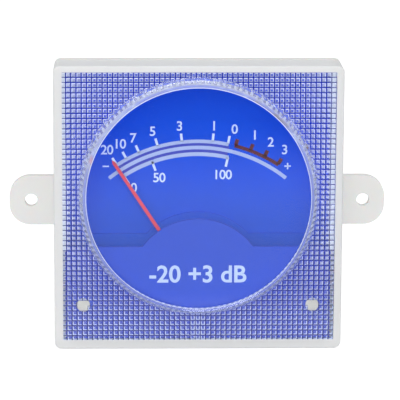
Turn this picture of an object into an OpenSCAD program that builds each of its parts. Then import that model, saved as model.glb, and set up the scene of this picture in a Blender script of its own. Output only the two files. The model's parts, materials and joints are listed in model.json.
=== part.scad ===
// Square panel level meter with a round raised window, a moving-coil movement and two side ears.
// The frame: +Z is the top of the meter, -Y is towards the reader, +X is to the reader's right.
// The origin lies midway between the two ear holes, on the ears' front (panel) face.

/* [Case] */
// Width and height of the square face
face_w = 60; // [60:0.5:62]
// Corner radius of the square face
face_r = 1.4; // [0.8:0.1:2]
// Depth of the clear cover in front of the panel face
cover_depth = 9; // [8.8:0.1:9.4]
// Thickness of the clear cover's face and window
cover_wall = 2; // [1.8:0.1:2]
// Thickness of the clear cover's side walls
cover_side = 1.5; // [1.4:0.1:1.6]
// Thickness of the rear flange and of the ears
flange_t = 2; // [1.6:0.1:2.4]
// Outer width and height of the box behind the flange
box_w = 55; // [54.6:0.1:55.4]
// Depth of the box behind the panel face
box_depth = 17; // [17:0.5:24]
// Wall thickness of the box
box_wall = 1.5; // [1.3:0.1:1.6]

/* [Window] */
// Radius of the flat round window
window_r = 23.35; // [22:0.05:23.5]
// Radius at the foot of the window's raised rim
rim_foot_r = 25.05; // [24.6:0.05:25.3]
// Height of the window above the face
rim_h = 2.5; // [2:0.1:3]
// Height of the window's centre above the middle of the face
window_z = 2.5; // [2:0.1:2.6]

/* [Ears] */
// Distance between the two ear holes
ear_pitch = 70; // [70:0.5:74]
// Height of an ear
ear_w = 10.5; // [8:0.5:14]
// Distance from a hole to the ear's outer end
ear_end = 4.55; // [4:0.05:5]
// Corner radius of an ear
ear_r = 4.4; // [1:0.1:4.4]
// Diameter of an ear hole
ear_hole_d = 2.7; // [2.2:0.1:3.4]

/* [Dial] */
// Height of the pivot below the middle of the face
pivot_drop = 18; // [17.9:0.1:18]
// Length of the pointer from the pivot to its tip
pointer_len = 32.6; // [28:0.1:33]
// Width of the pointer at its root
pointer_root_w = 0.8; // [0.7:0.05:1.2]
// Width of the pointer at its tip
pointer_tip_w = 0.66; // [0.4:0.02:0.8]
// Angle of the resting pointer from the vertical
rest_angle = -33.4; // [-34:0.2:-32]
// Travel of the pointer over the whole scale
full_travel = 68; // [60:1:68]
// Travel of the zero regulator to each side
zero_travel = 5; // [3:1:5]

/* [Movement] */
// Outer radius of the soft iron ring
yoke_r = 8.2; // [8:0.05:8.2]
// Inner radius of the soft iron ring
yoke_bore_r = 6; // [5.95:0.05:6.1]
// Radius of the magnet core
core_r = 4.2; // [4:0.05:4.2]
// Length of the core and of the ring
core_len = 7.4; // [7:0.1:7.4]
// Running gap between the coil former and the core
air_gap = 0.35; // [0.3:0.05:0.35]
// Turns in each hairspring
spring_turns = 4; // [3:1:4]

/* [Hidden] */
$fn = 72;
eps = 0.01;
pivot_z = -pivot_drop;

// Cover
face_y = -cover_depth;
cover_inner_y = face_y + cover_wall;
window_y = face_y - rim_h;
rim_wall = 1.75;

// Rear case
box_inner_w = box_w - 2 * box_wall;
box_floor_y = box_depth - box_wall;
box_r = 1.2;
web_t = 1.2;
seat_h = 0.3;
rear_boss_r = 9.6;
rear_boss_h = 1.2;
ring_relief = 0.15;
grip_rib_h = 0.8;
grip_rib_z = [-20, -12, -4, 4, 12, 20];

// Dial plate
dial_w = 55.4;
dial_t = 0.8;
apron_t = 0.8;
apron_r = 14.5;
apron_z = -16.6;
apron_top = -6.75;
dial_opening_r = 6.6;

// Mask plate
mask_w = 55.2;
mask_t = 0.8;
mask_y = -6.4;
mask_r = 14.2;
mask_z = -16.8;
mask_top = -8.55;
mask_bottom = -28.2;
mask_pin_x = 24;
mask_pin_z = -20.9;
mask_pin_head_d = 2.8;
mask_pin_head_h = 0.5;
mask_pin_d = 1.6;
mask_pin_len = 4;
mask_post_d = 3.8;

// Movement plate, behind the dial
frame_y = 0.4;
frame_t = 1.2;
frame_screw_x = 17.5;
frame_screw_d = 2;
frame_screw_len = 7;
frame_screw_head_r = 1.95;
frame_screw_head_h = 0.95;
frame_plate_w = 42;
frame_plate_h = 12;
frame_ring_r = 8.35;
coil_opening_r = 6.1;
frame_boss_d = 4.6;

// Core and ring
core_y = frame_y + frame_t;
core_end = core_y + core_len;
bracket_t = 0.8;
bracket_w = 3;
ring_mid_r = (yoke_r + yoke_bore_r) / 2;
core_screw_d = 2;
core_screw_head_r = 1.9;
core_screw_head_h = 0.9;
bracket_screw_r = 0.5;
bracket_screw_grip = 1.8;
bracket_screw_head_r = 0.95;
bracket_screw_head_h = 0.4;

// Coil
former_t = 0.3;
winding_t = 0.6;
coil_w = 2.2;
coil_in = core_r + air_gap;
coil_clear = 0.4;
coil_front = core_y - coil_clear - former_t - winding_t;
coil_rear = core_end + bracket_t + coil_clear + former_t + winding_t;

// Pointer and balance cross
cross_t = 0.3;
cross_y = -2.6;
pointer_t = 0.2;
pointer_y = cross_y - pointer_t;
pointer_root_r = 1.4;
arbor_foot = -0.6;
hub_r = 1;
tail_len = 6.6;
tail_w = 0.7;
side_arm_len = 4.6;
tail_weight_r = 0.85;
tail_weight_at = 5.3;
side_weight_r = 0.55;
side_weight_len = 1;
side_weight_at = 3.9;
blade_density = 2.7;
brass_density = 8.5;

// Pivots, jewels and hairsprings
collet_r = 0.8;
collet_len = 0.7;
pivot_r = 0.2;
arbor_r = 0.3;
jewel_r = 0.5;
jewel_hole_r = 0.25;
jewel_t = 0.4;
jewel_depth = 0.35;
pivot_reach = 0.3;
jewel_screw_r = 0.8;
bearing_gap = 0.1;
strip_t = 0.12;
strip_h = 0.2;
spring_out_r = 3.6;
spring_dish = 0.45;
spring_rings = 24;
stud_r = 0.25;
stud_gap = 0.03;
stud_at = spring_out_r + strip_t + stud_gap + stud_r;
front_collet_y = pointer_y - collet_len;
rear_collet_y = coil_rear + 0.2;
rear_collet_end = rear_collet_y + collet_len;

// Bridges, their pillars and screws
bridge_t = 0.8;
bridge_w = 3;
pillar_r = 0.9;
pillar_shank_r = 0.6;
pillar_shank_len = 2.4;
front_jewel_y = front_collet_y - bearing_gap;
rear_jewel_y = rear_collet_end + bearing_gap;
regulator_t = 0.3;
regulator_y = -4;
front_bridge_y = regulator_y - 0.1 - bridge_t;
rear_bridge_y = rear_jewel_y + 0.8;
bridge_screw_head_r = 1.1;
bridge_screw_head_h = 0.45;
bridge_screw_r = 0.4;
bridge_screw_len = 2.2;
jewel_screw_stand = 0.5;
front_spring_y = front_collet_y + 0.38;
rear_spring_y = rear_collet_y + 0.2;
lock_nut_r = 1.5;
lock_nut_h = 0.35;
jewel_slot_w = 0.3;
jewel_slot_depth = 0.3;

// Zero regulator
regulator_ring_r = 2;
regulator_arm_w = 1.1;
regulator_arm_len = 8.5;

// Stop pegs, just outside the pointer's whole travel
stop_r = 0.4;
stop_at = 9;
stop_spare = 0.5;
stop_front = -3.4;
stop_foot = -0.9;
stop_lead = stop_spare + asin((blade_w_at(stop_at) / 2 + stop_r) / stop_at);
stop_angles = [
  rest_angle - zero_travel - stop_lead,
  rest_angle + full_travel + zero_travel + stop_lead
];

// Terminals
tag_x = 10;
tag_z = 8;
tag_w = 2.8;
tag_t = 0.8;
tag_inner_y = 12;
tag_outer_y = box_depth + 6.5;
tag_hole_d = 1.2;
tag_collar_w = 5;
tag_collar_h = 1.2;

// Lead wires inside the case, from each tag to the lug of a bridge
lead_r = 0.35;
lead_sides = 8;
lead_steps = 4;
lead_hole_x = -10.4;
lead_hole_z = -12.5;
lead_hole_r = 1;
lug_x = 9.6;
lug_w = 2;
lug_hole_r = 0.4;
tag_under_z = tag_z - tag_t / 2;
rear_lead = [
  [tag_x, 12.5, tag_under_z], [10, 12.5, 5], [10.6, 12.8, 0], [10.5, 13.1, -6],
  [9.9, 13.3, -12], [lug_x, 13.3, pivot_z + lug_w / 2]
];
front_lead = [
  [-tag_x, 12.5, tag_under_z], [-10, 12.5, 4], [-10.5, 11.5, -3], [-10.8, 9, -9],
  [-10.7, 5, -12], [lead_hole_x, 1, lead_hole_z], [lead_hole_x, -1.6, -12.6],
  [-10.2, -3.5, -13.6], [-9.7, -4.4, -15.3], [-lug_x, -4.5, pivot_z + lug_w / 2]
];

// ---- shared shapes ----

// A drawing in the XZ plane, made thick from y towards the rear
module plate(y, t) {
  translate([0, y + t, 0]) rotate([90, 0, 0]) linear_extrude(t) children();
}

// A round bar or cone along Y, from y0 to y1
module bar_y(y0, y1, r, r_end = undef) {
  translate([0, y0, 0]) rotate([-90, 0, 0])
    cylinder(h = y1 - y0, r1 = r, r2 = is_undef(r_end) ? r : r_end);
}

module rounded_rect(w, h, r) {
  square([w - 2 * r, h], center = true);
  square([w, h - 2 * r], center = true);
  for (sx = [-1, 1], sz = [-1, 1])
    translate([sx * (w / 2 - r), sz * (h / 2 - r)]) circle(r);
}

// A plate's lower field: one level shoulder with a round hump over the movement
module humped_field(w, bottom, shoulder, hump_z, hump_r) {
  intersection() {
    union() {
      translate([-w / 2, bottom]) square([w, shoulder - bottom]);
      translate([0, hump_z]) circle(hump_r);
    }
    translate([-w / 2, bottom]) square([w, w]);
  }
}

// One copy on the left and one on the right
module on_both_sides(x, z = 0) {
  for (side = [-1, 1]) translate([side * x, 0, z]) children();
}

module at_pivot() {
  translate([0, 0, pivot_z]) children();
}

// What swings with the pointer is drawn upright and turned to the resting angle
module swinging() {
  at_pivot() rotate([0, rest_angle, 0]) children();
}

// A cut across the head of a slotted screw, whose outer face lies at y
module screw_slot(y, w, depth, turn = 0) {
  translate([0, y, 0]) rotate([0, turn, 0]) cube([6, 2 * depth, w], center = true);
}

// Faces of a tube whose points run round each ring and then on to the next ring
function tube_faces(rings, sides) = concat(
  [[for (i = [0:sides - 1]) i]],
  [for (k = [0:rings - 2], i = [0:sides - 1], half = [0, 1])
    let (a = k * sides + i, b = k * sides + (i + 1) % sides)
    half == 0 ? [a, b + sides, b] : [a, a + sides, b + sides]],
  [[for (i = [sides - 1:-1:0]) (rings - 1) * sides + i]]
);

function unit(v) = v / norm(v);

// ---- case ----

module front_cover() {
  color([0.9, 0.93, 1, 0.35]) difference() {
    union() {
      plate(face_y, cover_depth - seat_h) rounded_rect(face_w, face_w, face_r);
      translate([0, 0, window_z]) bar_y(window_y, face_y + eps, window_r, rim_foot_r);
    }
    plate(cover_inner_y, cover_depth) square(face_w - 2 * cover_side, center = true);
    translate([0, 0, window_z])
      bar_y(window_y + cover_wall, cover_inner_y + eps, window_r - 0.35, rim_foot_r - rim_wall);
  }
}

module ear_outline(side) {
  reach = ear_pitch / 2 + ear_end;
  translate([side * reach / 2, 0]) rounded_rect(reach, ear_w, ear_r);
}

module case_shell() {
  difference() {
    union() {
      plate(-seat_h, flange_t + seat_h) rounded_rect(face_w, face_w, face_r);
      plate(0, flange_t) for (side = [-1, 1]) ear_outline(side);
      plate(0, box_depth) rounded_rect(box_w, box_w, box_r);
      // Round raised field behind the movement
      at_pivot() bar_y(box_floor_y, box_depth + rear_boss_h, rear_boss_r);
      // Grip ribs down both sides of the box
      for (z = grip_rib_z)
        on_both_sides((box_w + grip_rib_h) / 2 - eps, z)
          translate([0, (flange_t + box_depth) / 2, 0])
            cube([grip_rib_h, box_depth - flange_t, web_t], center = true);
      // Collars round the terminal tags
      on_both_sides(tag_x, tag_z)
        plate(box_floor_y, box_wall + tag_collar_h) rounded_rect(tag_collar_w, 3, 0.8);
    }
    // Shallow recess for the dial, then the hollow of the box
    plate(-1, 1) square(dial_w + 0.4, center = true);
    plate(-1, box_floor_y + 1) square(box_inner_w, center = true);
    // Round relief in the lower wall, which lets the ring and its plate hang free
    at_pivot() bar_y(-1, core_end + 1, frame_ring_r + ring_relief);
  }
}

// Posts for the mask and bosses for the movement, tied to the side walls by webs
module case_posts() {
  post_front = mask_y + mask_t;
  on_both_sides(mask_pin_x, mask_pin_z)
    bar_y(post_front, box_floor_y + eps, mask_post_d / 2);
  on_both_sides((mask_pin_x + box_w / 2) / 2, mask_pin_z)
    translate([0, (flange_t + box_depth) / 2, 0])
      cube([box_w / 2 - mask_pin_x, box_depth - flange_t, web_t], center = true);
  on_both_sides(frame_screw_x, pivot_z)
    bar_y(core_y, box_floor_y + eps, frame_boss_d / 2);
  on_both_sides((frame_screw_x + box_w / 2) / 2, pivot_z)
    translate([0, (core_y + 1 + box_depth) / 2, 0])
      cube([box_w / 2 - frame_screw_x, box_depth - core_y - 1, web_t], center = true);
}

module rear_case() {
  color([0.93, 0.94, 0.93]) difference() {
    union() {
      case_shell();
      case_posts();
    }
    on_both_sides(ear_pitch / 2) bar_y(-1, flange_t + 1, ear_hole_d / 2);
    on_both_sides(mask_pin_x, mask_pin_z)
      bar_y(mask_y, mask_y + mask_t + mask_pin_len, mask_pin_d / 2);
    on_both_sides(frame_screw_x, pivot_z)
      bar_y(core_y - 1, core_y + frame_screw_len, frame_screw_d / 2);
    on_both_sides(tag_x, tag_z)
      plate(box_floor_y - 1, 5) square([tag_w, tag_t], center = true);
  }
}

// ---- dial and mask ----

module dial_plate() {
  color([0.15, 0.3, 0.85]) difference() {
    union() {
      plate(-dial_t, dial_t) square(dial_w, center = true);
      plate(-dial_t - apron_t, apron_t + eps)
        humped_field(dial_w, -dial_w / 2, apron_top, apron_z, apron_r);
    }
    at_pivot() plate(-3, 4) {
      circle(dial_opening_r);
      square([2 * (ring_mid_r + pillar_r) + 1, 2 * pillar_r + 1], center = true);
    }
    on_both_sides(mask_pin_x, mask_pin_z) bar_y(-3, 1, mask_post_d / 2 + 0.2);
    translate([lead_hole_x, 0, lead_hole_z]) bar_y(-3, 1, lead_hole_r);
    for (a = stop_angles) at_stop(a) bar_y(-3, stop_foot, stop_r);
  }
}

module mask_plate() {
  color([0.3, 0.4, 0.87]) difference() {
    plate(mask_y, mask_t) humped_field(mask_w, mask_bottom, mask_top, mask_z, mask_r);
    on_both_sides(mask_pin_x, mask_pin_z) bar_y(mask_y - 1, mask_y + 2, mask_pin_d / 2);
  }
}

module mask_pins() {
  color([0.75, 0.75, 0.72]) on_both_sides(mask_pin_x, mask_pin_z) {
    bar_y(mask_y - mask_pin_head_h, mask_y, mask_pin_head_d / 2 - 0.3, mask_pin_head_d / 2);
    bar_y(mask_y - eps, mask_y + mask_t + mask_pin_len - 0.3, mask_pin_d / 2);
  }
}

// ---- fixed parts of the movement ----

module movement_plate() {
  color([0.16, 0.16, 0.17]) difference() {
    plate(frame_y, frame_t) difference() {
      translate([0, pivot_z]) union() {
        rounded_rect(frame_plate_w, frame_plate_h, 2);
        circle(frame_ring_r);
      }
      translate([0, pivot_z]) {
        circle(coil_opening_r);
        for (x = [-1, 1]) translate([x * 12.4, 0]) circle(1.9);
      }
      translate([lead_hole_x, lead_hole_z]) circle(lead_hole_r);
    }
    on_both_sides(ring_mid_r, pivot_z) bar_y(0, 2, pillar_shank_r);
    on_both_sides(frame_screw_x, pivot_z) {
      bar_y(0, 2, frame_screw_d / 2 + 0.05);
      bar_y(frame_y - eps, frame_y + frame_screw_head_h,
            frame_screw_head_r + 0.05, frame_screw_d / 2 + 0.05);
    }
  }
}

module frame_screws() {
  color([0.75, 0.75, 0.72]) on_both_sides(frame_screw_x, pivot_z) difference() {
    union() {
      bar_y(frame_y, frame_y + frame_screw_head_h, frame_screw_head_r, frame_screw_d / 2);
      bar_y(frame_y + 0.1, core_y + frame_screw_len - 0.4, frame_screw_d / 2);
    }
    screw_slot(frame_y, 0.45, 0.5, 25);
  }
}

module yoke_ring() {
  color([0.5, 0.51, 0.53]) at_pivot() difference() {
    bar_y(core_y, core_end, yoke_r);
    bar_y(core_y - 1, core_end + 1, yoke_bore_r);
    on_both_sides(ring_mid_r) {
      bar_y(core_y - 1, core_y + pillar_shank_len - frame_t, pillar_shank_r);
      bar_y(core_end - pillar_shank_len, core_end + 1, pillar_shank_r);
    }
    for (side = [-1, 1]) translate([0, 0, side * ring_mid_r])
      bar_y(core_end - bracket_screw_grip, core_end + 1, bracket_screw_r);
  }
}

module magnet_core() {
  color([0.34, 0.34, 0.36]) at_pivot() difference() {
    bar_y(core_y, core_end, core_r);
    bar_y(core_y - 1, core_end + 1, core_screw_d / 2);
    bar_y(core_y - eps, core_y + core_screw_head_h,
          core_screw_head_r + 0.05, core_screw_d / 2 + 0.05);
  }
}

module core_screw() {
  color([0.8, 0.68, 0.4]) at_pivot() difference() {
    union() {
      bar_y(core_y, core_y + core_screw_head_h, core_screw_head_r, core_screw_d / 2);
      bar_y(core_y + 0.1, core_end + bracket_t, core_screw_d / 2);
    }
    screw_slot(core_y, 0.45, 0.5);
  }
}

// Strip that carries the core from the back of the ring, square to the coil
module core_bracket() {
  color([0.8, 0.68, 0.4]) at_pivot() difference() {
    plate(core_end, bracket_t) rounded_rect(bracket_w, 2 * yoke_r - 0.4, bracket_w / 2 - 0.1);
    bar_y(core_end - 1, core_end + 2, core_screw_d / 2);
    for (side = [-1, 1]) translate([0, 0, side * ring_mid_r])
      bar_y(core_end - 1, core_end + 2, bracket_screw_r);
  }
}

module bracket_screws() {
  head_y = core_end + bracket_t;
  color([0.75, 0.75, 0.72]) at_pivot() for (side = [-1, 1])
    translate([0, 0, side * ring_mid_r]) difference() {
      union() {
        bar_y(head_y, head_y + bracket_screw_head_h, bracket_screw_head_r);
        bar_y(core_end - bracket_screw_grip + 0.2, head_y + eps, bracket_screw_r);
      }
      screw_slot(head_y + bracket_screw_head_h, 0.3, 0.2, side * 20);
    }
}

// A pillar from the foot to the bridge, with a shank beyond its foot and a tapped head
module pillar(foot_y, head_y) {
  away = sign(head_y - foot_y);
  shank_y = foot_y - away * pillar_shank_len;
  tap_y = head_y - away * (bridge_screw_len - bridge_t + 0.2);
  difference() {
    union() {
      bar_y(min(foot_y, head_y), max(foot_y, head_y), pillar_r);
      bar_y(min(foot_y, shank_y), max(foot_y, shank_y), pillar_shank_r);
    }
    bar_y(min(head_y + away, tap_y), max(head_y + away, tap_y), bridge_screw_r);
  }
}

module front_pillars() {
  color([0.8, 0.68, 0.4]) on_both_sides(ring_mid_r, pivot_z)
    pillar(frame_y, front_bridge_y + bridge_t);
}

module rear_pillars() {
  color([0.8, 0.68, 0.4]) on_both_sides(ring_mid_r, pivot_z)
    pillar(core_end, rear_bridge_y);
}

// Strip with a round middle for the jewel screw and a solder lug on one end
module bridge_outline(lug_side) {
  difference() {
    union() {
      rounded_rect(2 * ring_mid_r + bridge_w, bridge_w, bridge_w / 2 - 0.1);
      circle(2.6);
      translate([lug_side * (lug_x + 1.2) / 2, 0])
        rounded_rect(lug_x + 1.2, lug_w, 0.9);
    }
    circle(jewel_screw_r);
    translate([lug_side * lug_x, 0]) circle(lug_hole_r);
    for (side = [-1, 1]) translate([side * ring_mid_r, 0]) circle(bridge_screw_r);
  }
}

module front_bridge() {
  color([0.8, 0.68, 0.4]) at_pivot() plate(front_bridge_y, bridge_t) bridge_outline(-1);
}

module rear_bridge() {
  color([0.8, 0.68, 0.4]) at_pivot() {
    plate(rear_bridge_y, bridge_t) bridge_outline(1);
    // Arm and stud for the rear hairspring's outer end
    plate(rear_bridge_y, bridge_t) difference() {
      translate([-0.7, 0]) square([1.4, stud_at + 0.6]);
      circle(2);
    }
    translate([0, 0, stud_at])
      bar_y(rear_spring_y + spring_dish, rear_bridge_y + eps, stud_r);
  }
}

module bridge_screw(seat_y, away, turn) {
  head_end = seat_y + away * bridge_screw_head_h;
  tip = seat_y - away * bridge_screw_len;
  difference() {
    union() {
      bar_y(min(seat_y, head_end), max(seat_y, head_end), bridge_screw_head_r);
      bar_y(min(seat_y, tip), max(seat_y, tip), bridge_screw_r);
    }
    screw_slot(head_end, 0.3, 0.2, turn);
  }
}

module bridge_screws() {
  color([0.75, 0.75, 0.72]) for (side = [-1, 1])
    translate([side * ring_mid_r, 0, pivot_z]) {
      bridge_screw(front_bridge_y, -1, 30 * side);
      bridge_screw(rear_bridge_y + bridge_t, 1, 70 * side);
    }
}

// Slotted screw that carries a cup jewel in the end next to the coil
module jewel_screw(inner_y, outer_y) {
  away = sign(outer_y - inner_y);
  jewel_end = inner_y + away * jewel_t;
  at_pivot() difference() {
    bar_y(min(inner_y, outer_y), max(inner_y, outer_y), jewel_screw_r);
    bar_y(min(inner_y - away, jewel_end), max(inner_y - away, jewel_end), jewel_r);
    screw_slot(outer_y, jewel_slot_w, jewel_slot_depth, 40);
  }
}

module jewel(inner_y, away) {
  outer = inner_y + away * jewel_t;
  hole_end = inner_y + away * jewel_depth;
  at_pivot() difference() {
    bar_y(min(inner_y, outer), max(inner_y, outer), jewel_r);
    bar_y(min(inner_y - away, hole_end), max(inner_y - away, hole_end), jewel_hole_r);
  }
}

module front_jewel_screw() {
  color([0.8, 0.68, 0.4]) jewel_screw(front_jewel_y, front_bridge_y - jewel_screw_stand);
}

module rear_jewel_screw() {
  color([0.8, 0.68, 0.4]) jewel_screw(rear_jewel_y, rear_bridge_y + bridge_t + jewel_screw_stand);
}

module front_jewel() { color([0.8, 0.1, 0.3]) jewel(front_jewel_y, -1); }

module rear_jewel() { color([0.8, 0.1, 0.3]) jewel(rear_jewel_y, 1); }

module lock_nuts() {
  color([0.8, 0.68, 0.4]) at_pivot()
    for (y = [front_bridge_y - lock_nut_h, rear_bridge_y + bridge_t]) difference() {
      translate([0, y, 0]) rotate([-90, 0, 0]) cylinder(h = lock_nut_h, r = lock_nut_r, $fn = 6);
      bar_y(y - 1, y + 2, jewel_screw_r);
    }
}

// Ring on the front jewel screw, with an arm that carries the front hairspring's outer end
module zero_regulator() {
  color([0.8, 0.68, 0.4]) at_pivot() {
    plate(regulator_y, regulator_t) difference() {
      union() {
        circle(regulator_ring_r);
        translate([0, regulator_arm_len / 2])
          rounded_rect(regulator_arm_w, regulator_arm_len, regulator_arm_w / 2 - 0.1);
      }
      circle(jewel_screw_r + 0.05);
    }
    translate([0, 0, stud_at])
      bar_y(regulator_y + eps, front_spring_y - spring_dish + strip_h, stud_r);
  }
}

module at_stop(a) {
  at_pivot() rotate([0, a, 0]) translate([0, 0, stop_at]) children();
}

module pointer_stops() {
  color([0.75, 0.75, 0.72]) for (a = stop_angles) at_stop(a) bar_y(stop_front, stop_foot, stop_r);
}

// ---- what swings ----

function blade_w_at(r) = pointer_root_w + (pointer_tip_w - pointer_root_w) * r / pointer_len;

module pointer() {
  shoulder = pointer_len - pointer_tip_w;
  color([0.88, 0.22, 0.3]) swinging() difference() {
    union() {
      bar_y(pointer_y, cross_y, pointer_root_r);
      plate(pointer_y, pointer_t) polygon([
        [-pointer_root_w / 2, 0], [-pointer_tip_w / 2, shoulder], [0, pointer_len],
        [pointer_tip_w / 2, shoulder], [pointer_root_w / 2, 0]
      ]);
    }
    bar_y(pointer_y - 1, cross_y + 1, arbor_r);
  }
}

module balance_cross() {
  color([0.8, 0.68, 0.4]) swinging() difference() {
    union() {
      bar_y(coil_front - 0.3, coil_front, 1.6);
      bar_y(cross_y, coil_front - eps, hub_r);
      plate(cross_y, cross_t) {
        translate([-tail_w / 2, -tail_len]) square([tail_w, tail_len]);
        square([2 * side_arm_len, tail_w], center = true);
      }
    }
    bar_y(cross_y - 1, arbor_foot, arbor_r);
  }
}

// The tail weight's length is what balances the blade about the pivot
blade_square = pointer_len * pointer_len;
blade_moment = blade_density * pointer_t * blade_square * (pointer_root_w / 6 + pointer_tip_w / 3);
tail_moment = brass_density * tail_w * cross_t * (tail_len * tail_len - hub_r * hub_r) / 2;
tail_weight_area = PI * tail_weight_r * tail_weight_r - tail_w * cross_t;
tail_weight_len = (blade_moment - tail_moment) / (tail_weight_at * brass_density * tail_weight_area);

module weight(r, len, at) {
  translate([0, cross_y + cross_t / 2, at]) difference() {
    cylinder(h = len, r = r, center = true);
    cube([tail_w, cross_t, len + 1], center = true);
  }
}

module balance_weights() {
  color([0.75, 0.75, 0.72]) swinging() {
    weight(tail_weight_r, tail_weight_len, -tail_weight_at);
    for (side = [-1, 1]) rotate([0, side * 90, 0])
      weight(side_weight_r, side_weight_len, side_weight_at);
  }
}

// A rectangular loop round the core, seen from above, w high
module coil_loop(outer_x, outer_y0, outer_y1, wall, w) {
  linear_extrude(w, center = true) difference() {
    translate([0, (outer_y0 + outer_y1) / 2])
      rounded_rect(2 * outer_x, outer_y1 - outer_y0, wall);
    translate([0, (outer_y0 + outer_y1) / 2])
      square([2 * (outer_x - wall), outer_y1 - outer_y0 - 2 * wall], center = true);
  }
}

module coil_former() {
  color([0.85, 0.86, 0.88]) swinging()
    coil_loop(coil_in + former_t, coil_front + winding_t, coil_rear - winding_t, former_t, coil_w);
}

module coil_winding() {
  outer_x = coil_in + former_t + winding_t;
  color([0.72, 0.38, 0.16]) swinging() linear_extrude(coil_w - 0.3, center = true) difference() {
    translate([0, (coil_front + coil_rear) / 2])
      rounded_rect(2 * outer_x, coil_rear - coil_front, winding_t);
    translate([0, (coil_front + coil_rear) / 2])
      rounded_rect(2 * (coil_in + former_t), coil_rear - coil_front - 2 * winding_t, former_t);
  }
}

module front_pivot() {
  color([0.7, 0.71, 0.74]) swinging() {
    bar_y(front_collet_y, arbor_foot, arbor_r);
    bar_y(front_jewel_y - pivot_reach, front_collet_y + eps, pivot_r);
  }
}

module rear_pivot() {
  color([0.7, 0.71, 0.74]) swinging() {
    bar_y(coil_rear, rear_collet_end, arbor_r);
    bar_y(rear_collet_end - eps, rear_jewel_y + pivot_reach, pivot_r);
  }
}

module front_collet() {
  color([0.8, 0.68, 0.4]) swinging() difference() {
    bar_y(front_collet_y, pointer_y, collet_r);
    bar_y(front_collet_y - 1, pointer_y + 1, arbor_r);
  }
}

module rear_collet() {
  color([0.8, 0.68, 0.4]) swinging() difference() {
    union() {
      bar_y(coil_rear, rear_collet_y, 1.5);
      bar_y(rear_collet_y - eps, rear_collet_end, collet_r);
    }
    bar_y(coil_rear - 1, rear_collet_end + 1, arbor_r);
  }
}

// Middle of the spring strip: the turn angle runs from the collet out to the stud at the top
function spring_point(t, wind, y, dish) =
  let (r = collet_r + strip_t / 2 + (spring_out_r - collet_r) * t,
       a = -360 * wind * spring_turns * (1 - t))
  [r * sin(a), y + dish * t, r * cos(a)];

module hairspring(y, wind, dish) {
  last = spring_turns * spring_rings;
  middle = [for (k = [0:last]) spring_point(k / last, wind, y, dish)];
  gaps = [for (k = [0:last - spring_rings]) norm(middle[k + spring_rings] - middle[k]) - strip_t];
  echo("hairspring: least gap between its turns, mm", min(gaps));
  corners = [for (p = middle)
    let (out = unit([p[0], 0, p[2]]) * strip_t / 2, up = [0, strip_h, 0])
    each wind > 0 ? [p - out, p - out + up, p + out + up, p + out]
                  : [p + out, p + out + up, p - out + up, p - out]];
  polyhedron(corners, tube_faces(last + 1, 4));
}

module front_hairspring() {
  color([0.78, 0.62, 0.3]) at_pivot() hairspring(front_spring_y, 1, -spring_dish);
}

module rear_hairspring() {
  color([0.78, 0.62, 0.3]) at_pivot() hairspring(rear_spring_y, -1, spring_dish);
}

// ---- electrical parts ----

module terminal_tags() {
  color([0.8, 0.8, 0.78]) on_both_sides(tag_x, tag_z) difference() {
    translate([-tag_w / 2, tag_inner_y, -tag_t / 2])
      cube([tag_w, tag_outer_y - tag_inner_y, tag_t]);
    translate([0, tag_outer_y - 2, -2]) cylinder(h = 4, r = tag_hole_d / 2);
  }
}

// A smooth way through points, as short straight steps
function way_point(p, k, t) =
  let (a = p[max(k - 1, 0)], b = p[k], c = p[k + 1], d = p[min(k + 2, len(p) - 1)])
  0.5 * (2 * b + (c - a) * t + (2 * a - 5 * b + 4 * c - d) * t * t + (3 * b - a - 3 * c + d) * pow(t, 3));

module wire(points) {
  way = [for (k = [0:len(points) - 2], s = [0:lead_steps - 1]) way_point(points, k, s / lead_steps),
         points[len(points) - 1]];
  last = len(way) - 1;
  corners = [for (k = [0:last])
    let (along = k == 0 || k == last ? [0, 0, 1] : -unit(way[k + 1] - way[k - 1]),
         across = unit(cross(along, [1, 0, 0])), third = cross(along, across))
    for (i = [0:lead_sides - 1])
      way[k] + lead_r * (cos(360 * i / lead_sides) * across + sin(360 * i / lead_sides) * third)];
  polyhedron(corners, tube_faces(last + 1, lead_sides));
}

module lead_wires() {
  color([0.8, 0.15, 0.12]) wire(rear_lead);
  color([0.1, 0.1, 0.1]) wire(front_lead);
}

front_cover();
rear_case();
dial_plate();
mask_plate();
mask_pins();
movement_plate();
frame_screws();
yoke_ring();
magnet_core();
core_bracket();
bracket_screws();
core_screw();
front_pillars();
rear_pillars();
front_bridge();
rear_bridge();
bridge_screws();
front_jewel_screw();
rear_jewel_screw();
front_jewel();
rear_jewel();
lock_nuts();
zero_regulator();
pointer();
balance_cross();
balance_weights();
coil_former();
coil_winding();
front_pivot();
rear_pivot();
front_collet();
rear_collet();
front_hairspring();
rear_hairspring();
pointer_stops();
terminal_tags();
lead_wires();
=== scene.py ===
# Looks of a square panel level meter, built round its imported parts.
# The scene is in metres, and the lengths in the dictionaries are in millimetres.
# +Z is the top, the dial faces -Y, and +X is to the reader's right.
import json
import math

import bmesh
import bpy
from mathutils import Matrix, Vector


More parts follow.
